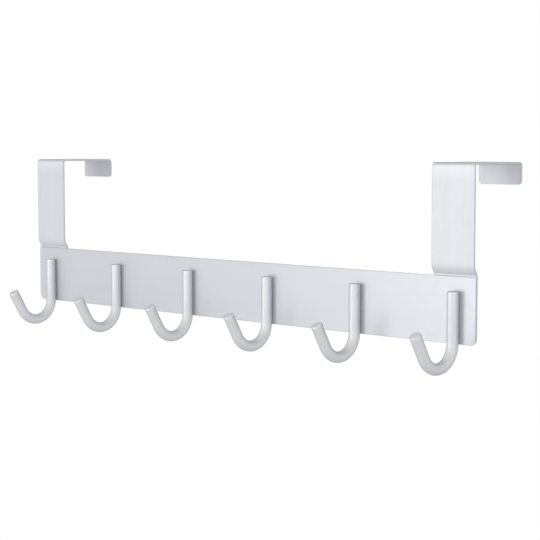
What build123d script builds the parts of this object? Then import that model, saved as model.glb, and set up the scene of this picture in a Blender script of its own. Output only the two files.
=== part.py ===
from build123d import *
from math import acos, atan2, hypot, tan
import os

# Over-door coat rack: a flat rail with round rod hooks on its face, hung from two bent straps.
# Millimetres. +X runs along the rail, +Y into the door, +Z up.
# The origin is on the door's top front edge, midway along the rack.

# Rail
rail_length = 468.0
rail_height = 45.0
rail_sheet = 1.0
rail_foot_radius = 4.0
rail_head_radius = 0.8

# Straps
strap_width = 35.5
strap_sheet = 1.5
strap_inset = 0.3
strap_drop = 74.0
channel_width = 50.0
bend_inside_radius = 1.5
lip_drop = 13.9
lip_corner_radius = 2.8
tail_lift = 0.5

# Joggle that carries the strap from behind the rail to in front of it:
# a sharp crease, a short straight run and a wide sweep back to upright
joggle_step = 3.0
joggle_rise = 1.4
joggle_crease_radius = 0.5
joggle_run = 0.695
joggle_sweep_radius = 11.0

# Hooks
hook_count = 6
hook_pitch = 86.5
hook_row_shift = 1.9
rod_diameter = 8.0
hook_bend_radius = 16.1
hook_bend_angle = 150.5
hook_tip_length = 18.8
hook_head_margin = 9.7
hook_bend_rise = 1.2
weld_flat_depth = 0.3
hook_head_round = 0.7
hook_tip_round = 1.3

# Rounding that rolling and coating leave on the sheets' rims
rim_round = 0.2

# Heights and depths that follow from the sizes above.
# The joggle's angle, in radians, is the turn at which its bends and run make up the step.
rail_top = -strap_drop
rail_bottom = rail_top - rail_height
rail_back = -strap_sheet
rail_front = rail_back - rail_sheet
tail_end = rail_bottom + tail_lift
leg_back = -joggle_step
lip_front = leg_back + channel_width
crease_back_radius = joggle_crease_radius + strap_sheet
sweep_back_radius = joggle_sweep_radius - strap_sheet
joggle_reach = crease_back_radius + sweep_back_radius
joggle_lean = atan2(joggle_run, joggle_reach)
joggle_angle = acos((joggle_reach - joggle_step) / hypot(joggle_reach, joggle_run)) - joggle_lean
joggle_foot = rail_top + joggle_rise + strap_sheet * tan(joggle_angle / 2)
joggle_head = joggle_foot + joggle_step / tan(joggle_angle)
rod_radius = rod_diameter / 2
rod_depth = rail_front - rod_radius + weld_flat_depth
hook_head = rail_top - hook_head_margin
hook_bend_start = rail_bottom + hook_bend_rise

os.makedirs("parts", exist_ok=True)

# Rail: a plain strip, its lower corners rounded and its upper ones only broken
with BuildPart() as rail:
    with BuildSketch(Plane.XZ.offset(-rail_back)) as strip:
        with Locations((0, (rail_top + rail_bottom) / 2)):
            Rectangle(rail_length, rail_height)
        fillet(strip.vertices().group_by(Axis.Y)[0], rail_foot_radius)
        fillet(strip.vertices().group_by(Axis.Y)[-1], rail_head_radius)
    extrude(amount=rail_sheet)
    fillet(rail.faces().filter_by(Axis.Y).edges(), rim_round)
rail.part.label = "rail"
export_step(rail.part, "parts/rail.step")

# Straps: the door side is drawn from the tail up, over the door's top and down the lip
strap_faces = {
    "strap_left": -rail_length / 2 + strap_inset,
    "strap_right": rail_length / 2 - strap_inset - strap_width,
}
for strap_name, strap_x in strap_faces.items():
    with BuildPart() as strap:
        with BuildSketch(Plane.YZ.offset(strap_x)):
            with BuildLine():
                FilletPolyline(
                    (0, tail_end),
                    (0, joggle_foot),
                    (leg_back, joggle_head),
                    (leg_back, 0),
                    (lip_front, 0),
                    (lip_front, -lip_drop),
                    radius=[
                        crease_back_radius,
                        sweep_back_radius,
                        bend_inside_radius,
                        bend_inside_radius,
                    ],
                )
                offset(amount=strap_sheet, side=Side.LEFT)
            make_face()
        extrude(amount=strap_width)
        corners = strap.edges().filter_by(Axis.Y).group_by(SortBy.LENGTH)[0]
        fillet(corners.group_by(Axis.Z)[0], rail_foot_radius)
        corners = strap.edges().filter_by(Axis.Y).group_by(SortBy.LENGTH)[0]
        fillet(corners.group_by(Axis.Z)[-1], lip_corner_radius)
        # the rounding runs on by itself where one rim meets the next without a corner
        side_rims = strap.faces().filter_by(Axis.X).edges().filter_by(Axis.Z)
        fillet(side_rims, rim_round)
    strap.part.label = strap_name
    export_step(strap.part, f"parts/{strap_name}.step")

# Hooks: a straight leg, one bend under the rail and a straight tip that leans out
for number in range(1, hook_count + 1):
    hook_x = hook_row_shift + hook_pitch * (number - (hook_count + 1) / 2)
    with BuildPart() as hook:
        with BuildLine(Plane.YZ.offset(hook_x)) as hook_path:
            leg = Line((rod_depth, hook_head), (rod_depth, hook_bend_start))
            bend = JernArc(leg @ 1, leg % 1, hook_bend_radius, -hook_bend_angle)
            Line(bend @ 1, bend @ 1 + hook_tip_length * (bend % 1))
        with BuildSketch(Plane(hook_path.line @ 0, z_dir=hook_path.line % 0)):
            Circle(rod_radius)
        sweep()
        ends = hook.faces().filter_by(GeomType.PLANE).sort_by(Axis.Z)
        fillet(ends[-1].edges(), hook_head_round)
        ends = hook.faces().filter_by(GeomType.PLANE).sort_by(Axis.Z)
        fillet(ends[0].edges(), hook_tip_round)
        split(bisect_by=Plane.XZ.offset(-rail_front), keep=Keep.TOP)
    hook.part.label = f"hook_{number}"
    export_step(hook.part, f"parts/hook_{number}.step")
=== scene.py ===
"""Looks of an over-door coat rack: a flat rail, two bent straps and six rod hooks in satin silver.

Every length is in metres. +X runs along the rail, +Y into the door and +Z up, and the origin is on
the door's top front edge, midway along the rack.
"""

import logging
import math
from dataclasses import dataclass
from enum import Enum
from typing import ClassVar

import bmesh
import bpy
import numpy as np
from mathutils import Matrix, Vector


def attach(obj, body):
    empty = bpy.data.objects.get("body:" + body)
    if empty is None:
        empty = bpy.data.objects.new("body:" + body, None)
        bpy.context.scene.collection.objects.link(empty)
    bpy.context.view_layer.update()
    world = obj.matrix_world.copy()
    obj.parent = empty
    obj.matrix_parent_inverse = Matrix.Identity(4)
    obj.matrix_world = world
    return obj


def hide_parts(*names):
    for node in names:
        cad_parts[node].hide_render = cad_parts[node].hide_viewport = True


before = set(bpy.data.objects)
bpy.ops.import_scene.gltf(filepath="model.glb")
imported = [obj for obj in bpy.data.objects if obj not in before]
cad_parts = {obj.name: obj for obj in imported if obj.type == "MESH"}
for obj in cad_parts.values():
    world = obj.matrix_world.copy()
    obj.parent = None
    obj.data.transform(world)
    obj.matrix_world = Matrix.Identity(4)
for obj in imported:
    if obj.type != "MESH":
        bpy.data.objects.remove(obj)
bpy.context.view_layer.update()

log = logging.getLogger("coat_rack")

Socket = bpy.types.NodeSocket
Colour = tuple[float, float, float, float]

MM = 0.001
BODY = "root"
WHITE: Colour = (1.0, 1.0, 1.0, 1.0)

# Points closer together than this are one point
JOIN_DISTANCE = 1e-6
# An edge is drawn sharp where its faces turn by more than this
SHARP_ANGLE = math.radians(21)


class Slot(Enum):
    """The record's material slot of each coated metal."""

    RAIL = "rail_coat"
    STRAP = "strap_coat"
    HOOK = "hook_coat"


class StrapSide(Enum):
    """The two straps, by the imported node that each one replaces."""

    LEFT = "strap_left"
    RIGHT = "strap_right"


# Shapes


@dataclass(frozen=True)
class BentLine:
    """Straight runs and round bends in the plane of Y and Z, end to end without a corner.

    Attributes:
        start: First point, (y, z).
        heading: Direction at the start, in radians from +Y towards +Z.
        runs: (length, turn) of each stretch. The turn, in radians, is 0 on a straight one.
    """

    start: tuple[float, float]
    heading: float
    runs: tuple[tuple[float, float], ...]

    # Distances are rounded to a nanometre, so that a joint found twice is one row
    DIGITS: ClassVar[int] = 9

    @classmethod
    def through(cls, corners: np.ndarray, radii: np.ndarray) -> "BentLine":
        """Rounds the inner corners of a chain of straight lines.

        A bend of radius r that turns by a takes r * tan(a / 2) off both lines it joins, and is
        r * a long.

        Args:
            corners: Points of the chain, one (y, z) a row.
            radii: Bend radius at each inner corner.

        Returns:
            The line, from the first corner to the last.
        """
        legs = np.diff(corners, axis=0)
        headings = np.unwrap(np.arctan2(legs[:, 1], legs[:, 0]))
        turns = np.diff(headings)
        trims = np.concatenate([[0.0], radii * np.tan(np.abs(turns) / 2), [0.0]])
        straights = np.hypot(legs[:, 0], legs[:, 1]) - trims[:-1] - trims[1:]
        lengths = np.zeros(2 * len(turns) + 1)
        lengths[0::2] = straights
        lengths[1::2] = radii * np.abs(turns)
        bends = np.zeros_like(lengths)
        bends[1::2] = turns
        return cls(tuple(corners[0]), float(headings[0]), tuple(zip(lengths, bends)))

    @property
    def length(self) -> float:
        """Length of the whole line."""
        return float(sum(length for length, _ in self.runs))

    @staticmethod
    def _reach(along: np.ndarray, curvature: np.ndarray, heading: np.ndarray) -> np.ndarray:
        """Chord of a stretch: its length times sinc of half its turn, at its mean heading.

        Args:
            along: Length of the stretch.
            curvature: Its turn for each metre.
            heading: Direction at its start.

        Returns:
            The chords, with a last axis (y, z).
        """
        half_turn = curvature * along / 2
        chord = along * np.sinc(half_turn / np.pi)
        middle = heading + half_turn
        return np.stack([chord * np.cos(middle), chord * np.sin(middle)], -1)

    def at(self, along: np.ndarray) -> tuple[np.ndarray, np.ndarray]:
        """Points and headings at distances along the line.

        In a stretch of curvature k the heading is h + k * l, and the point is the stretch's start
        plus l * sinc(k * l / 2) at the heading h + k * l / 2, for straight runs and arcs alike.

        Args:
            along: Distances from the start, in an array of any shape.

        Returns:
            Points, with a last axis (y, z), and headings, in the shape of the distances.
        """
        lengths, turns = np.array(self.runs).T
        ends = np.cumsum(lengths)
        curvatures = turns / lengths
        headings = self.heading + np.cumsum(turns) - turns
        steps = self._reach(lengths, curvatures, headings)
        starts = np.array(self.start) + np.cumsum(steps, axis=0) - steps
        stretch = np.clip(np.searchsorted(ends, along, side="right"), 0, len(ends) - 1)
        within = along - (ends - lengths)[stretch]
        points = starts[stretch] + self._reach(within, curvatures[stretch], headings[stretch])
        return points, headings[stretch] + curvatures[stretch] * within

    def stations(self, first: float, last: float, run_step: float, bend_step: float) -> np.ndarray:
        """Distances at which a surface along the line has its rows.

        Args:
            first: Distance of the row before the first one.
            last: Distance of the row after the last one.
            run_step: Longest step on a straight run.
            bend_step: Largest turn between two rows on a bend, in radians.

        Returns:
            Rising distances between the two, with every joint of a run and a bend among them.
        """
        lengths, turns = np.array(self.runs).T
        ends = np.cumsum(lengths)
        counts = np.ceil(np.maximum(lengths / run_step, np.abs(turns) / bend_step)).astype(int)
        parts = [np.linspace(e - l, e, n + 1) for e, l, n in zip(ends, lengths, counts)]
        rows = np.unique(np.round(np.concatenate(parts), self.DIGITS))
        return rows[(rows > first + JOIN_DISTANCE) & (rows < last - JOIN_DISTANCE)]


@dataclass(frozen=True)
class Grid:
    """A surface patch as a grid of points, each with what the coat does there.

    Attributes:
        points: Points, with axes (row, column, xyz).
        thinning_and_shade: How much thinner the coat is, which makes it glossier, and how much
            painted shade darkens it: 0 on a face, and 1 or so at the most.
        laid: Each point's place on the flat blank: (across, along, through).
    """

    points: np.ndarray
    thinning_and_shade: np.ndarray
    laid: np.ndarray

    def quads(self) -> np.ndarray:
        """Joins neighbouring rows and columns.

        Returns:
            Corner indices of the quads, four to a row.
        """
        rows, columns = self.thinning_and_shade.shape
        index = np.arange(rows * columns).reshape(rows, columns)
        corners = [index[:-1, :-1], index[:-1, 1:], index[1:, 1:], index[1:, :-1]]
        return np.stack(corners, -1).reshape(-1, 4)


@dataclass(frozen=True)
class Shell:
    """Grids that close into one solid's skin.

    Attributes:
        grids: The patches, which share their outer edges.
    """

    grids: tuple[Grid, ...]

    def mesh(self, name: str) -> bpy.types.Mesh:
        """Makes the mesh: edges that meet are joined, poles closed, and normals turned outwards.

        Args:
            name: The mesh's name.

        Returns:
            A smooth mesh with sharp edges marked, and the point attributes "thin" (thinner coat and
            painted shade) and "laid".
        """
        sizes = [grid.thinning_and_shade.size for grid in self.grids]
        offsets = np.cumsum(sizes) - sizes
        points = np.concatenate([grid.points.reshape(-1, 3) for grid in self.grids])
        thinning_and_shade = np.concatenate([grid.thinning_and_shade.ravel() for grid in self.grids]).astype(np.float32)
        laid = np.concatenate([grid.laid.reshape(-1, 3) for grid in self.grids]).astype(np.float32)
        quads = np.concatenate([grid.quads() + at for grid, at in zip(self.grids, offsets)])
        mesh = bpy.data.meshes.new(name)
        mesh.from_pydata(points, [], quads)
        mesh.attributes.new("thinning_and_shade", "FLOAT", "POINT").data.foreach_set("value", thinning_and_shade)
        laid_out = mesh.attributes.new("laid", "FLOAT_VECTOR", "POINT")
        laid_out.data.foreach_set("vector", laid.ravel())
        joined = bmesh.new()
        joined.from_mesh(mesh)
        bmesh.ops.remove_doubles(joined, verts=joined.verts, dist=JOIN_DISTANCE)
        bmesh.ops.recalc_face_normals(joined, faces=joined.faces)
        joined.to_mesh(mesh)
        joined.free()
        mesh.shade_smooth()
        mesh.set_sharp_from_angle(angle=SHARP_ANGLE)
        mesh.update()
        return mesh


@dataclass(frozen=True)
class BentSheet:
    """A strip of sheet metal, round at its corners and rims, bent along a line.

    Attributes:
        line: The strip's inner face along its length, seen from the side.
        middle: Where the strip's middle is in X.
        width: Width of the strip.
        sheet: Thickness, to the left of the line's heading.
        start_radius: Corner radius at the line's start.
        end_radius: Corner radius at the line's end.
        rim_round: Rounding along every rim.
    """

    line: BentLine
    middle: float
    width: float
    sheet: float
    start_radius: float
    end_radius: float
    rim_round: float

    # Longest step between rows on a straight run, and largest turn between them on a bend
    RUN_STEP: ClassVar[float] = 4 * MM
    BEND_STEP: ClassVar[float] = math.radians(6)
    # Points on a corner's quarter circle, and on a rim's
    CORNER_POINTS: ClassVar[int] = 10
    RIM_POINTS: ClassVar[int] = 6
    # Columns of a face: their distances from its edge, and how many stand between those
    EDGE_COLUMNS: ClassVar[np.ndarray] = np.array([0.0, 0.15, 0.4, 0.8, 1.5, 3.0]) * MM
    INNER_COLUMNS: ClassVar[int] = 9
    # Thinner coat with painted shade on a rim and on the outside of a top bend, and how far a rim's
    # goes
    RIM_THINNING_AND_SHADE: ClassVar[float] = 0.5
    CREST_THINNING_AND_SHADE: ClassVar[float] = 1.4
    RIM_REACH: ClassVar[float] = 0.3 * MM

    def _across(self) -> np.ndarray:
        """Spreads a face's columns, close together by the rims.

        Returns:
            Places from -1 to 1 of the face's half width.
        """
        near = self.EDGE_COLUMNS / (self.width / 2)
        inner = np.linspace(-1 + near[-1], 1 - near[-1], self.INNER_COLUMNS)[1:-1]
        return np.concatenate([near - 1, inner, 1 - near[::-1]])

    def _rim(self) -> tuple[np.ndarray, np.ndarray]:
        """Rounds a rim, from the inner face to the outer one.

        Each rounding is a quarter circle: inset r * (1 - sin a) and depth r * (1 - cos a), and the
        outer one is its mirror image through the middle of the sheet.

        Returns:
            Inset and depth of the points round the rim.
        """
        turn = np.linspace(0, np.pi / 2, self.RIM_POINTS)
        inset = self.rim_round * (1 - np.sin(turn))
        depth = self.rim_round * (1 - np.cos(turn))
        through = np.concatenate([depth, self.sheet - depth[::-1]])
        return np.concatenate([inset, inset[::-1]]), through

    def _place(self, along: np.ndarray, across: np.ndarray, depth: np.ndarray) -> Grid:
        """Bends flat places onto the line.

        The point is the line's point plus depth times the line's left normal, (-sin, cos) of its
        heading, and X is the middle plus the place across. The mask of thinner coat and painted
        shade is half of e to the power of minus the distance to the nearest rim over 0.3 mm. On the
        outside of a bend over the top it paints a shaded line as the squares of the sine of twice
        the heading and of the heading's cosine.

        Args:
            along: Distance along the strip of each grid point.
            across: Distance from the strip's middle.
            depth: Distance from the inner face.

        Returns:
            The grid in its place.
        """
        spot, heading = self.line.at(along)
        y = spot[..., 0] - np.sin(heading) * depth
        z = spot[..., 1] + np.cos(heading) * depth
        to_side = self.width / 2 - np.abs(across)
        to_end = np.minimum(along, self.line.length - along)
        to_rim = np.maximum(np.minimum(to_side, to_end) - self.rim_round, 0)
        crest = np.sin(2 * heading) ** 2 * np.clip(np.cos(heading), 0, 1) ** 2
        outside = depth > self.sheet / 2
        # Painted shade: darker rims, and a dark line on the outside of the top bend
        thinning_and_shade = np.maximum(
            self.RIM_THINNING_AND_SHADE * np.exp(-to_rim / self.RIM_REACH), self.CREST_THINNING_AND_SHADE * crest * outside
        )
        points = np.stack([self.middle + across, y, z], -1)
        return Grid(points, thinning_and_shade, np.stack([across, along, depth], -1))

    def _cap(self, radius: float, ends: np.ndarray) -> Grid:
        """Closes one end between its round corners.

        Args:
            radius: Corner radius at that end.
            ends: Distance along the strip of each point round the end's rim.

        Returns:
            The cap, with a row for each point round the rim and a column for each place across.
        """
        across = self._across()[None, :] * (self.width / 2 - radius)
        level = np.ones_like(across)
        _, depth = self._rim()
        rows = ends[:, None]
        return self._place(rows * level, across + 0 * rows, depth[:, None] * level)

    def shell(self) -> Shell:
        """Skins the strip: one sleeve round its section along the line, and a cap on each end.

        The columns go round the section: inner face, right rim, outer face, left rim. Each has its
        share of the half width, its inset and its depth. With corner radius r, inset d and a turn a
        from 0 at the end to a right angle, a row by an end lies r - (r - d) * cos a from it and is
        width / 2 - r + (r - d) * sin a wide to a side.

        Returns:
            The strip's closed skin.
        """
        across = self._across()
        rim_inset, rim_depth = self._rim()
        face = np.ones_like(across)
        rim = np.ones_like(rim_inset)
        share = np.concatenate([across, rim, across[::-1], -rim])
        inset = np.concatenate(
            [face * self.rim_round, rim_inset, face * self.rim_round, rim_inset[::-1]]
        )
        depth = np.concatenate([face * 0, rim_depth, face * self.sheet, rim_depth[::-1]])
        turn = np.linspace(0, np.pi / 2, self.CORNER_POINTS)[:, None]
        half, total = self.width / 2, self.line.length
        start, end = self.start_radius, self.end_radius
        rows = self.line.stations(start, total - end, self.RUN_STEP, self.BEND_STEP)[:, None]
        along = np.concatenate([
            start - (start - inset) * np.cos(turn),
            rows + 0 * inset,
            total - end + (end - inset) * np.cos(turn[::-1]),
        ])
        reach = np.concatenate([
            half - start + (start - inset) * np.sin(turn),
            0 * rows + half - inset,
            half - end + (end - inset) * np.sin(turn[::-1]),
        ])
        sleeve = self._place(along, share * reach, depth + 0 * along)
        return Shell((sleeve, self._cap(start, rim_inset), self._cap(end, total - rim_inset)))


@dataclass(frozen=True)
class BentRod:
    """A round rod bent along a line, its ends rounded, and flattened where it is welded on.

    Attributes:
        line: The rod's centre line.
        middle: Where the rod is in X.
        radius: Radius of the rod.
        head_round: Rounding at the line's start.
        tip_round: Rounding at the line's end.
        seat: The plane in Y that the rod is pressed flat against.
    """

    line: BentLine
    middle: float
    radius: float
    head_round: float
    tip_round: float
    seat: float

    # Longest step between rings on a straight run, and largest turn between them on a bend
    RUN_STEP: ClassVar[float] = 3 * MM
    BEND_STEP: ClassVar[float] = math.radians(3)
    # Points of a ring across the weld flat and round the rest, and on an end's rounding
    FLAT_POINTS: ClassVar[int] = 5
    ROUND_POINTS: ClassVar[int] = 65
    END_POINTS: ClassVar[int] = 9
    # Rings on an end's flat disc, as shares of its radius
    DISC_RINGS: ClassVar[np.ndarray] = np.array([0.0, 0.35, 0.7, 0.92])
    # How far the thinner coat and painted shade of an end's rounding go, and where in the rounding
    # they are strongest
    EDGE_REACH: ClassVar[float] = 0.5 * MM
    EDGE_SHARE: ClassVar[float] = 0.3

    def _ring(self) -> np.ndarray:
        """Spreads the points of a ring, with two of them on the weld flat's own edges.

        Returns:
            Angles round the rod, from the middle of the side by the seat.
        """
        flat_edge = math.acos((self.seat - self.line.start[0]) / self.radius)
        flat = np.linspace(-flat_edge, flat_edge, self.FLAT_POINTS)
        rest = np.linspace(flat_edge, 2 * np.pi - flat_edge, self.ROUND_POINTS)[1:]
        return np.concatenate([flat, rest])

    def _end(self, rounding: float) -> tuple[np.ndarray, np.ndarray]:
        """Shapes an end: a flat disc, then a quarter circle's rounding.

        At the angle a the rounding f has the distance f * (1 - cos a) and the radius
        r - f + f * sin a.

        Args:
            rounding: The end's rounding.

        Returns:
            Distance of each ring from the end, and its radius.
        """
        turn = np.linspace(0, np.pi / 2, self.END_POINTS)
        disc = (self.radius - rounding) * self.DISC_RINGS
        away = np.concatenate([np.zeros_like(disc), rounding * (1 - np.cos(turn))])
        return away, np.concatenate([disc, self.radius - rounding + rounding * np.sin(turn)])

    def _off_edge(self, away: np.ndarray, radius: np.ndarray, rounding: float) -> np.ndarray:
        """Finds how far each ring is from an end's thinnest coat and darkest painted shade.

        It is the hypotenuse of the distance past the rounding, and of how much narrower than the
        rod the ring is, less the edge share of the rounding.

        Args:
            away: Distance of each ring from the end.
            radius: Radius of each ring.
            rounding: The end's rounding.

        Returns:
            The distances.
        """
        beyond = np.maximum(away - rounding, 0)
        return np.hypot(beyond, self.radius - radius - self.EDGE_SHARE * rounding)

    def shell(self) -> Shell:
        """Skins the rod with rings along its line.

        A point is the line's point plus its ring's radius times (cos b * normal + sin b * X), and
        nothing goes past the seat. The mask of thinner coat and painted shade falls off away from
        the ends' roundings as e to the power of minus the distance over 0.5 mm.

        Returns:
            The rod's closed skin.
        """
        head_away, head_radius = self._end(self.head_round)
        tip_away, tip_radius = self._end(self.tip_round)
        total = self.line.length
        last = total - self.tip_round
        rows = self.line.stations(self.head_round, last, self.RUN_STEP, self.BEND_STEP)
        along = np.concatenate([head_away, rows, total - tip_away[::-1]])[:, None]
        radius = np.concatenate([head_radius, 0 * rows + self.radius, tip_radius[::-1]])[:, None]
        ring = self._ring()[None, :]
        spot, heading = self.line.at(along + 0 * ring)
        out = radius * np.cos(ring)
        x = self.middle + radius * np.sin(ring)
        y = np.minimum(spot[..., 0] - np.sin(heading) * out, self.seat)
        z = spot[..., 1] + np.cos(heading) * out
        off_head = self._off_edge(along, radius, self.head_round)
        off_tip = self._off_edge(total - along, radius, self.tip_round)
        # Painted shade on the ends' roundings, with a glossier coat there
        thinning_and_shade = np.exp(-np.minimum(off_head, off_tip) / self.EDGE_REACH) + 0 * ring
        laid = np.stack([self.radius * ring + 0 * along, along + 0 * ring, radius + 0 * ring], -1)
        return Shell((Grid(np.stack([x, y, z], -1), thinning_and_shade, laid),))


# Finishes


@dataclass(frozen=True)
class NodeBench:
    """Adds nodes to one tree.

    Attributes:
        tree: The tree of a material or of the world.
    """

    tree: bpy.types.NodeTree

    def add(self, kind: str, settings: dict | None = None, **sockets: object) -> bpy.types.Node:
        """Adds a node.

        Args:
            kind: The node's type in the API.
            settings: Properties of the node itself.
            **sockets: Input values or linked outputs, named as the sockets are, with an underscore
                for a space.

        Returns:
            The new node.
        """
        node = self.tree.nodes.new(kind)
        for name, value in (settings or {}).items():
            setattr(node, name, value)
        for name, value in sockets.items():
            self.feed(node.inputs[name.replace("_", " ")], value)
        return node

    def feed(self, socket: Socket, value: object) -> None:
        """Links an output to a socket, or sets the socket's value.

        Args:
            socket: The input.
            value: An output or a plain value.
        """
        if isinstance(value, Socket):
            self.tree.links.new(value, socket)
        else:
            socket.default_value = value

    def maths(self, operation: str, *values: object) -> Socket:
        """Adds one Math node.

        Args:
            operation: What it does, in the API's word.
            *values: Plain values or outputs, in the order of its inputs.

        Returns:
            Its result.
        """
        node = self.add("ShaderNodeMath", {"operation": operation})
        for socket, value in zip(node.inputs, values):
            self.feed(socket, value)
        return node.outputs[0]

    def noise(self, place: Socket, size: float, detail: float = 1.0) -> Socket:
        """Noise whose blots are about the given size in metres, from 0 to 1."""
        node = self.add("ShaderNodeTexNoise", None, Vector=place, Scale=1 / size, Detail=detail)
        return node.outputs["Fac"]

    def between(self, factor: Socket, low: float, high: float) -> Socket:
        """Maps noise from its usual span, 0.3 to 0.7, onto low to high."""
        span = {"From_Min": 0.3, "From_Max": 0.7, "To_Min": low, "To_Max": high}
        return self.add("ShaderNodeMapRange", None, Value=factor, **span).outputs["Result"]

    def blend(self, factor: Socket, first: object, second: object) -> Socket:
        """Mixes two colours.

        Args:
            factor: Share of the second colour.
            first: A colour or an output.
            second: A colour or an output.

        Returns:
            The mixed colour.
        """
        node = self.add("ShaderNodeMix", {"data_type": "RGBA"})
        self.feed(node.inputs[0], factor)
        self.feed(node.inputs[6], first)
        self.feed(node.inputs[7], second)
        return node.outputs[2]

    def bump(self, height: Socket, depth: float, under: Socket | None = None) -> Socket:
        """Raises the surface by a height from 0 to 1.

        Args:
            height: The height.
            depth: What its full span is in metres.
            under: A normal that is bumped already.

        Returns:
            The bumped normal.
        """
        node = self.add("ShaderNodeBump", None, Height=height, Distance=depth, Strength=1.0)
        if under is not None:
            self.feed(node.inputs["Normal"], under)
        return node.outputs["Normal"]

    def mix_shaders(self, factor: Socket, first: Socket, second: Socket) -> Socket:
        """Mixes two shaders.

        Args:
            factor: Share of the second shader.
            first: Output of the first one.
            second: Output of the second one.

        Returns:
            The mixed shader.
        """
        node = self.add("ShaderNodeMixShader")
        for socket, value in zip(node.inputs, (factor, first, second)):
            self.feed(socket, value)
        return node.outputs[0]


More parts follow.
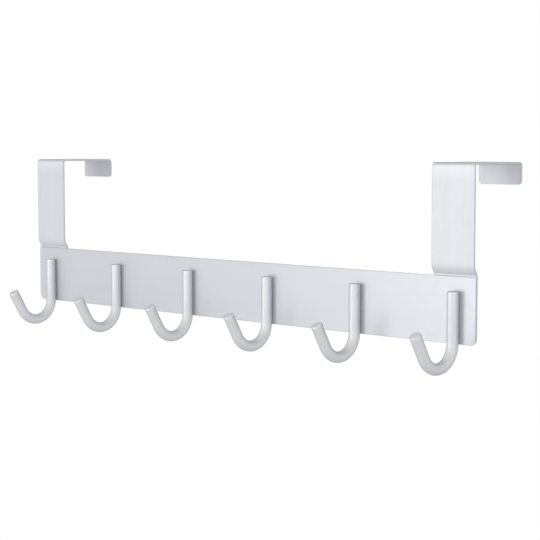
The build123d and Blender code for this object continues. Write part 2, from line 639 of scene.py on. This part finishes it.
@dataclass(frozen=True)
class SatinCoat:
    """Silver lacquer on steel: grain, slow ripple, glossier rims darkened by painted shade.

    Attributes:
        slot: The record's slot.
        colour: Colour of the coat, in linear light.
        metallic: Share of the light that the flakes in the coat mirror.
        roughness: Roughness of the coat.
        rough_drift: How far the roughness wanders either way.
        thin_gloss: How much less rough the coat is where it is thinnest.
        edge_shine: Strength of the flakes' shine at a grazing angle.
        clear_shine: Strength of the clear lacquer's own shine, 0.5 being a usual lacquer's.
        grain: Size of its grain.
        grain_depth: Depth of its grain.
        grain_dark: Colour that the grain's spots go towards, as a share of the coat's.
        grain_share: How far they go towards it.
        ripple: Size of the slow ripple in it.
        ripple_depth: Depth of the ripple.
        cloud: Size of the patches over which the colour wanders.
        drift: Share by which the colour wanders.
        streak: Share by which the drawn streaks lighten or darken it.
        streak_size: Width of a streak.
        drawn: How many times longer grain and streaks are across the strip, and along it.
        rim_painted_shade: How far the painted shade darkens the rims and the outside of a top bend.
        rim_shade_colour: Colour of that painted shade, as a share of the coat's.
        painted_sheen: Share by which a painted sheen makes it lighter beside the sharp top bend.
        painted_sheen_at: Distance along the strip at which the painted sheen is brightest.
        painted_sheen_reach: How far from there the painted sheen goes.
    """

    slot: Slot
    colour: tuple[float, float, float]
    metallic: float
    roughness: float = 0.45
    rough_drift: float = 0.025
    thin_gloss: float = 0.16
    edge_shine: float = 0.0
    clear_shine: float = 0.1
    grain: float = 0.35 * MM
    grain_depth: float = 0.004 * MM
    grain_dark: float = 0.9
    grain_share: float = 0.12
    ripple: float = 4.0 * MM
    ripple_depth: float = 0.01 * MM
    cloud: float = 45 * MM
    drift: float = 0.012
    streak: float = 0.0
    streak_size: float = 3.2 * MM
    drawn: tuple[float, float] = (1.0, 1.0)
    rim_painted_shade: float = 1.0
    rim_shade_colour: float = 0.7
    painted_sheen: float = 0.0
    painted_sheen_at: float = 0.0
    painted_sheen_reach: float = 13 * MM

    def _shade(self, share: float) -> Colour:
        """The coat's colour times a share."""
        return (*(min(1.0, channel * share) for channel in self.colour), 1.0)

    def _tone(self, bench: NodeBench, laid: Socket, stretched: Socket) -> Socket:
        """Lightens and darkens the coat by streaks, and paints a sheen beside the sharp top bend.

        The painted sheen fades as a smooth step of the distance from the bend along the strip.

        Args:
            bench: The material's nodes.
            laid: Place on the flat blank.
            stretched: The same place, drawn out as the streaks are.

        Returns:
            What the colour is multiplied by, about 1.
        """
        streaks = bench.noise(stretched, self.streak_size, 3.0)
        tone = bench.between(streaks, 1 - self.streak, 1 + self.streak)
        if not self.painted_sheen:
            return tone
        # Painted sheen: lighter coat beside the sharp top bend
        along = bench.add("ShaderNodeSeparateXYZ", None, Vector=laid).outputs["Y"]
        off_bend = bench.maths("ABSOLUTE", bench.maths("SUBTRACT", along, self.painted_sheen_at))
        sheen_near_bend = bench.add(
            "ShaderNodeMapRange", {"interpolation_type": "SMOOTHSTEP"}, Value=off_bend,
            From_Min=0.0, From_Max=self.painted_sheen_reach, To_Min=self.painted_sheen, To_Max=0.0,
        )
        return bench.maths("ADD", tone, sheen_near_bend.outputs["Result"])

    def _tint(self, bench: NodeBench, grain: Socket, tone: Socket, thinning_and_shade: Socket) -> Socket:
        """Colours the coat: slow patches, dark grain, the tone, and painted shade on the rims.

        Args:
            bench: The material's nodes.
            grain: Height of the grain.
            tone: What the colour is multiplied by.
            thinning_and_shade: Mask of thinner coat and painted shade.

        Returns:
            The colour.
        """
        place = bench.add("ShaderNodeTexCoord").outputs["Object"]
        patches = bench.between(bench.noise(place, self.cloud), 0.0, 1.0)
        wander = bench.blend(patches, self._shade(1 - self.drift), self._shade(1 + self.drift))
        spots = bench.between(grain, 0.0, self.grain_share)
        flecked = bench.blend(spots, wander, self._shade(self.grain_dark))
        scaled = {"operation": "SCALE"}
        toned = bench.add("ShaderNodeVectorMath", scaled, Vector=flecked, Scale=tone)
        # Painted shade on the rims and the top bend's outside, towards a darker share of the coat's
        # colour
        painted_edge_shade = bench.maths("MULTIPLY", thinning_and_shade, self.rim_painted_shade)
        return bench.blend(painted_edge_shade, toned.outputs["Vector"], self._shade(self.rim_shade_colour))

    def material(self) -> bpy.types.Material:
        """Makes the coat's material, with colour, roughness and relief from its nodes.

        Returns:
            The material.
        """
        made = bpy.data.materials.new(f"satin_{self.slot.value}")
        made.use_nodes = True
        made.node_tree.nodes.clear()
        bench = NodeBench(made.node_tree)
        place = bench.add("ShaderNodeTexCoord").outputs["Object"]
        thinning_and_shade = bench.add("ShaderNodeAttribute", {"attribute_name": "thinning_and_shade"}).outputs["Fac"]
        laid = bench.add("ShaderNodeAttribute", {"attribute_name": "laid"}).outputs["Vector"]
        across, along = self.drawn
        shrink = (1 / across, 1 / along, 1.0)
        drawn_out = bench.add("ShaderNodeMapping", None, Vector=laid, Scale=shrink)
        stretched = drawn_out.outputs["Vector"]
        grain = bench.noise(stretched, self.grain, 2.0)
        ripple = bench.noise(place, self.ripple)
        low, high = self.roughness - self.rough_drift, self.roughness + self.rough_drift
        even = bench.between(ripple, low, high)
        rough = bench.maths("MULTIPLY_ADD", thinning_and_shade, -self.thin_gloss, even)
        shader = bench.add(
            "ShaderNodeBsdfPrincipled", None,
            Base_Color=self._tint(bench, grain, self._tone(bench, laid, stretched), thinning_and_shade),
            Metallic=self.metallic, Roughness=rough,
            Normal=bench.bump(grain, self.grain_depth, bench.bump(ripple, self.ripple_depth)),
            Specular_Tint=(self.edge_shine, self.edge_shine, self.edge_shine, 1.0),
            Specular_IOR_Level=self.clear_shine,
        )
        bench.add("ShaderNodeOutputMaterial", None, Surface=shader.outputs[0])
        return made


# Sub-assemblies


@dataclass(frozen=True)
class Piece:
    """One visible piece.

    Attributes:
        name: The piece's own name.
        node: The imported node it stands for.
        shell: Its skin.
        coat: Its finish.
    """

    name: str
    node: str
    shell: Shell
    coat: SatinCoat

    def build(self, finishes: dict[Slot, bpy.types.Material]) -> bpy.types.Object:
        """Puts the piece in the scene in its node's place.

        Args:
            finishes: Material of each slot.

        Returns:
            The new object.
        """
        made = bpy.data.objects.new(self.name, self.shell.mesh(self.name))
        bpy.context.scene.collection.objects.link(made)
        made.data.materials.append(finishes[self.coat.slot])
        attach(made, BODY)
        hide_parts(self.node)
        points, faces = len(made.data.vertices), len(made.data.polygons)
        log.info("%s: %d vertices, %d faces", self.name, points, faces)
        return made


@dataclass(frozen=True)
class Rail:
    """The flat rail, its lower corners rounded and its upper ones only broken.

    Attributes:
        coat: Its finish.
        length: Length along X.
        height: Height of the strip.
        sheet: Thickness.
        back: Its back in Y.
        top: Its upper edge in Z.
        foot_radius: Radius of the lower corners.
        head_radius: Radius of the upper corners.
        rim_round: Rounding along its rims.
    """

    coat: SatinCoat
    length: float = 468.0 * MM
    height: float = 45.0 * MM
    sheet: float = 1.0 * MM
    back: float = -1.5 * MM
    top: float = -74.0 * MM
    foot_radius: float = 4.0 * MM
    head_radius: float = 0.8 * MM
    rim_round: float = 0.2 * MM

    @property
    def front(self) -> float:
        """The rail's face in Y."""
        return self.back - self.sheet

    @property
    def bottom(self) -> float:
        """The rail's lower edge in Z."""
        return self.top - self.height

    def pieces(self) -> list[Piece]:
        """Makes the rail as one straight strip, drawn from its lower edge to its upper one.

        Returns:
            The rail's one piece.
        """
        line = BentLine((self.back, self.bottom), math.pi / 2, ((self.height, 0.0),))
        strip = BentSheet(
            line, 0.0, self.length, self.sheet, self.foot_radius, self.head_radius, self.rim_round
        )
        return [Piece("rail_face_plate", "rail", strip.shell(), self.coat)]


@dataclass(frozen=True)
class DoorStraps:
    """The two straps, each bent from the rail's back over the door's top and down a short lip.

    Attributes:
        coat: Their finish.
        rail: The rail they carry.
        width: Width of the strip.
        sheet: Thickness of the strip.
        inset: How far each is in from the rail's end.
        channel: Depth of the channel that takes the door.
        bend_radius: Inner radius of the two bends over the door.
        lip_drop: How far the lip hangs below the door's top edge.
        lip_radius: Radius of the lip's corners.
        tail_lift: How far the tail ends above the rail's lower edge.
        joggle_step: How far the joggle brings the strap forward.
        joggle_rise: Height of the joggle's foot over the rail.
        crease_radius: Radius of the joggle's sharp crease, on the strap's door side.
        sweep_radius: Radius of its wide sweep, on the same side.
        joggle_run: Length of the straight run between those two.
    """

    coat: SatinCoat
    rail: Rail
    width: float = 35.5 * MM
    sheet: float = 1.5 * MM
    inset: float = 0.3 * MM
    channel: float = 50.0 * MM
    bend_radius: float = 1.5 * MM
    lip_drop: float = 13.9 * MM
    lip_radius: float = 2.8 * MM
    tail_lift: float = 0.5 * MM
    joggle_step: float = 3.0 * MM
    joggle_rise: float = 1.4 * MM
    crease_radius: float = 2.0 * MM
    sweep_radius: float = 9.5 * MM
    joggle_run: float = 0.695 * MM

    def _line(self) -> BentLine:
        """Draws the strap's door side from its tail, by the joggle, to the end of its lip.

        The joggle's angle is the turn at which both its bends and its run make up the step: the
        arc cosine of (reach - step) / hypot(reach, run), less the arc tangent of run / reach,
        where the reach is the sum of the bends' radii.

        Returns:
            The strap's line.
        """
        reach = self.crease_radius + self.sweep_radius
        lean = math.acos((reach - self.joggle_step) / math.hypot(reach, self.joggle_run))
        angle = lean - math.atan2(self.joggle_run, reach)
        foot = self.rail.top + self.joggle_rise + self.sheet * math.tan(angle / 2)
        head = foot + self.joggle_step / math.tan(angle)
        leg, lip = -self.joggle_step, self.channel - self.joggle_step
        corners = [
            (0.0, self.rail.bottom + self.tail_lift), (0.0, foot), (leg, head),
            (leg, 0.0), (lip, 0.0), (lip, -self.lip_drop),
        ]
        radii = [self.crease_radius, self.sweep_radius, self.bend_radius, self.bend_radius]
        return BentLine.through(np.array(corners), np.array(radii))

    def pieces(self) -> list[Piece]:
        """Makes both straps, close to the rail's ends.

        Returns:
            The left strap and the right one.
        """
        reach = self.rail.length / 2 - self.inset - self.width / 2
        made = []
        for side, middle in ((StrapSide.LEFT, -reach), (StrapSide.RIGHT, reach)):
            strip = BentSheet(
                self._line(), middle, self.width, self.sheet,
                self.rail.foot_radius, self.lip_radius, self.rail.rim_round,
            )
            made.append(Piece(f"{side.value}_over_door", side.value, strip.shell(), self.coat))
        return made


@dataclass(frozen=True)
class RodHooks:
    """Six hooks of round rod, each with a welded leg, one bend under the rail and a leaning tip.

    Attributes:
        coat: Their finish.
        rail: The rail they are welded to.
        count: How many there are.
        pitch: Distance from one to the next.
        row_shift: How far the row's middle is right of the rail's.
        radius: Radius of the rod.
        bend_radius: Radius of the bend's centre line.
        bend_angle: Turn of the bend, in radians.
        tip_length: Length of the straight tip.
        head_margin: How far the leg's head is below the rail's upper edge.
        bend_rise: How far the bend starts above the rail's lower edge.
        weld_flat: How deep the leg is pressed flat.
        head_round: Rounding of the leg's head.
        tip_round: Rounding of the tip's end.
    """

    coat: SatinCoat
    rail: Rail
    count: int = 6
    pitch: float = 86.5 * MM
    row_shift: float = 1.9 * MM
    radius: float = 4.0 * MM
    bend_radius: float = 16.1 * MM
    bend_angle: float = math.radians(150.5)
    tip_length: float = 18.8 * MM
    head_margin: float = 9.7 * MM
    bend_rise: float = 1.2 * MM
    weld_flat: float = 0.3 * MM
    head_round: float = 0.7 * MM
    tip_round: float = 1.3 * MM

    def _line(self) -> BentLine:
        """Draws a hook's centre line, down the leg, round the bend and up the tip.

        Returns:
            The hook's line.
        """
        depth = self.rail.front - self.radius + self.weld_flat
        head = self.rail.top - self.head_margin
        leg = head - (self.rail.bottom + self.bend_rise)
        bend = self.bend_radius * self.bend_angle
        runs = ((leg, 0.0), (bend, -self.bend_angle), (self.tip_length, 0.0))
        return BentLine((depth, head), -math.pi / 2, runs)

    def pieces(self) -> list[Piece]:
        """Makes the row of hooks, evenly spaced along the rail.

        Returns:
            The hooks, from left to right.
        """
        made = []
        for number in range(1, self.count + 1):
            middle = self.row_shift + self.pitch * (number - (self.count + 1) / 2)
            rod = BentRod(
                self._line(), middle, self.radius, self.head_round, self.tip_round, self.rail.front
            )
            made.append(Piece(f"hook_{number}_rod", f"hook_{number}", rod.shell(), self.coat))
        return made


# Studio


@dataclass(frozen=True)
class Softbox:
    """A soft lamp that faces the rack.

    Attributes:
        name: The lamp's name.
        azimuth: Direction it stands in, in degrees from the front towards +X.
        elevation: Height above the horizon, in degrees.
        distance: Distance from the rack.
        width: Width of the lamp.
        height: Height of the lamp.
        level: Brightness of its face, 1 being white.
    """

    name: str
    azimuth: float
    elevation: float
    distance: float
    width: float
    height: float
    level: float

    def build(self, aim: Vector) -> bpy.types.Object:
        """Makes the lamp; its power is pi times its level times its area.

        Args:
            aim: The point that it faces.

        Returns:
            The lamp.
        """
        lamp = bpy.data.lights.new(self.name, "AREA")
        lamp.shape, lamp.size, lamp.size_y = "RECTANGLE", self.width, self.height
        lamp.energy = math.pi * self.level * self.width * self.height
        made = bpy.data.objects.new(self.name, lamp)
        bpy.context.scene.collection.objects.link(made)
        turn, rise = math.radians(self.azimuth), math.radians(self.elevation)
        level_part = math.cos(rise)
        away = Vector((math.sin(turn) * level_part, -math.cos(turn) * level_part, math.sin(rise)))
        made.location = aim + away * self.distance
        made.rotation_euler = away.to_track_quat("Z", "Y").to_euler()
        log.info("%s at level %.2f", self.name, self.level)
        return made


@dataclass(frozen=True)
class Viewpoint:
    """The photograph's camera, found from the rack's own edges in it.

    Attributes:
        place: Where the camera stands.
        azimuth: How far it stands round from the front towards +X, in degrees.
        pitch: How far it looks down, in degrees.
        focal_pixels: Focal length in pixels of the photograph.
        frame_pixels: The photograph's width in pixels.
        sensor: Width of the sensor, in millimetres.
        near: Nearest distance that it sees.
        far: Furthest distance that it sees.
    """

    place: tuple[float, float, float] = (0.84662, -0.81694, 0.00997)
    azimuth: float = 44.545
    pitch: float = 4.457
    focal_pixels: float = 1549.6
    frame_pixels: float = 540.0
    sensor: float = 36.0
    near: float = 0.01
    far: float = 100.0

    def build(self) -> bpy.types.Object:
        """Makes the camera and gives it to the scene.

        Its axes are right, (cos, sin, 0) of its azimuth, ahead, which dips by the pitch, and the
        up that both leave.

        Returns:
            The camera.
        """
        data = bpy.data.cameras.new("photo_camera")
        data.sensor_fit, data.sensor_width = "HORIZONTAL", self.sensor
        data.lens = self.focal_pixels * self.sensor / self.frame_pixels
        data.clip_start, data.clip_end = self.near, self.far
        made = bpy.data.objects.new("photo_camera", data)
        bpy.context.scene.collection.objects.link(made)
        turn, down = math.radians(self.azimuth), math.radians(self.pitch)
        level_part = math.cos(down)
        ahead = Vector((-math.sin(turn) * level_part, math.cos(turn) * level_part, -math.sin(down)))
        right = Vector((math.cos(turn), math.sin(turn), 0.0))
        facing = Matrix((right, right.cross(ahead), -ahead)).transposed().to_4x4()
        made.matrix_world = Matrix.Translation(self.place) @ facing
        bpy.context.scene.camera = made
        return made


@dataclass(frozen=True)
class Studio:
    """A white room: a pale floor, soft lamps and a white surround for the metal to mirror.

    Attributes:
        boxes: The soft lamps.
        ambient: Strength of the plain light from all round.
        floor_height: Height of the floor, well below the rack.
        floor_size: Length of the floor's sides.
        floor_grey: How light the floor's paint is.
        floor_glow: Share of plain white in the floor under the rack, where it is seen.
        fade_start: Distance from the middle at which the floor starts going over to white.
        fade_end: Distance at which it is white.
        aim: The point that the lamps face.
    """

    boxes: tuple[Softbox, ...]
    ambient: float = 0.62
    floor_height: float = -0.75
    floor_size: float = 12.0
    floor_grey: float = 0.92
    floor_glow: float = 0.6
    fade_start: float = 1.0
    fade_end: float = 1.8
    aim: tuple[float, float, float] = (0.0, 0.0, -0.07)

    def _seen(self, bench: NodeBench) -> Socket:
        """Tells rays that see the surround from those that only light the rack.

        Args:
            bench: The nodes of a material or of the world.

        Returns:
            1 for a ray from the camera, a mirror or glass, and 0 for any other.
        """
        path = bench.add("ShaderNodeLightPath").outputs
        first = bench.maths("MAXIMUM", path["Is Camera Ray"], path["Is Glossy Ray"])
        return bench.maths("MAXIMUM", first, path["Is Transmission Ray"])

    def _surround(self) -> None:
        """White where it is seen or mirrored, and a plain ambient light elsewhere."""
        world = bpy.data.worlds.new("white_surround")
        world.use_nodes = True
        world.node_tree.nodes.clear()
        bench = NodeBench(world.node_tree)
        lit = bench.add("ShaderNodeBackground", None, Color=WHITE, Strength=self.ambient)
        white = bench.add("ShaderNodeBackground", None, Color=WHITE, Strength=1.0)
        mix = bench.mix_shaders(self._seen(bench), lit.outputs[0], white.outputs[0])
        bench.add("ShaderNodeOutputWorld", None, Surface=mix)
        world.cycles.sampling_method = "NONE"
        bpy.context.scene.world = world

    def _paint(self) -> bpy.types.Material:
        """Makes the floor's paint: matte near the rack, going over to plain white further off.

        Returns:
            The material.
        """
        paint = bpy.data.materials.new("pale_floor")
        paint.use_nodes = True
        paint.node_tree.nodes.clear()
        bench = NodeBench(paint.node_tree)
        place = bench.add("ShaderNodeTexCoord").outputs["Object"]
        away = bench.add("ShaderNodeVectorMath", {"operation": "LENGTH"}, Vector=place)
        faded = bench.add(
            "ShaderNodeMapRange", None, Value=away.outputs["Value"],
            From_Min=self.fade_start, From_Max=self.fade_end, To_Min=self.floor_glow, To_Max=1.0,
        )
        share = bench.maths("MULTIPLY", faded.outputs["Result"], self._seen(bench))
        grey = (self.floor_grey, self.floor_grey, self.floor_grey, 1.0)
        matte = bench.add("ShaderNodeBsdfDiffuse", None, Color=grey)
        white = bench.add("ShaderNodeEmission", None, Color=WHITE, Strength=1.0)
        mix = bench.mix_shaders(share, matte.outputs[0], white.outputs[0])
        bench.add("ShaderNodeOutputMaterial", None, Surface=mix)
        return paint

    def _floor(self) -> bpy.types.Object:
        """Lays a square pale floor that keeps the rack's shadow.

        Returns:
            The floor.
        """
        half = self.floor_size / 2
        mesh = bpy.data.meshes.new("studio_floor")
        corners = [(-half, -half), (half, -half), (half, half), (-half, half)]
        mesh.from_pydata([(x, y, self.floor_height) for x, y in corners], [], [(0, 1, 2, 3)])
        mesh.materials.append(self._paint())
        made = bpy.data.objects.new("studio_floor", mesh)
        bpy.context.scene.collection.objects.link(made)
        return made

    def build(self) -> None:
        """Makes the surround, the floor and the lamps."""
        self._surround()
        self._floor()
        for box in self.boxes:
            box.build(Vector(self.aim))
        bpy.context.scene.view_settings.view_transform = "Standard"


def main() -> None:
    """Builds the rack, its finishes and the studio, and reports each piece."""
    logging.basicConfig(level=logging.INFO, format="%(name)s: %(message)s")
    # Every coat darkens its rims with painted shade; the straps' coat also has a painted sheen by
    # the top bend
    rail_coat = SatinCoat(
        Slot.RAIL, (0.650, 0.662, 0.700), metallic=0.48, roughness=0.4,
        streak=0.01, drawn=(40.0, 1.0),
    )
    strap_coat = SatinCoat(
        Slot.STRAP, (0.714, 0.720, 0.760), metallic=0.3,
        # The straps' coat has a painted sheen beside the top bend
        streak=0.018, drawn=(1.0, 20.0), painted_sheen=0.1, painted_sheen_at=118.5 * MM,
    )
    # The hooks' ends carry a little painted shade on their roundings
    hook_coat = SatinCoat(
        Slot.HOOK, (0.704, 0.709, 0.738), metallic=0.7, roughness=0.54,
        grain_depth=0.002 * MM, rim_painted_shade=0.2,
    )
    finishes = {coat.slot: coat.material() for coat in (rail_coat, strap_coat, hook_coat)}
    rail = Rail(rail_coat)
    for assembly in (rail, DoorStraps(strap_coat, rail), RodHooks(hook_coat, rail)):
        for piece in assembly.pieces():
            piece.build(finishes)
    Studio((
        Softbox("left_softbox", -18, 3, distance=1.3, width=0.53, height=1.2, level=2.2),
        Softbox("front_softbox", 34, 3, distance=2.6, width=1.1, height=2.4, level=0.9),
        Softbox("side_softbox", 78, 3, distance=2.6, width=0.6, height=2.4, level=1.2),
    )).build()
    Viewpoint().build()


if __name__ == "__main__":
    main()
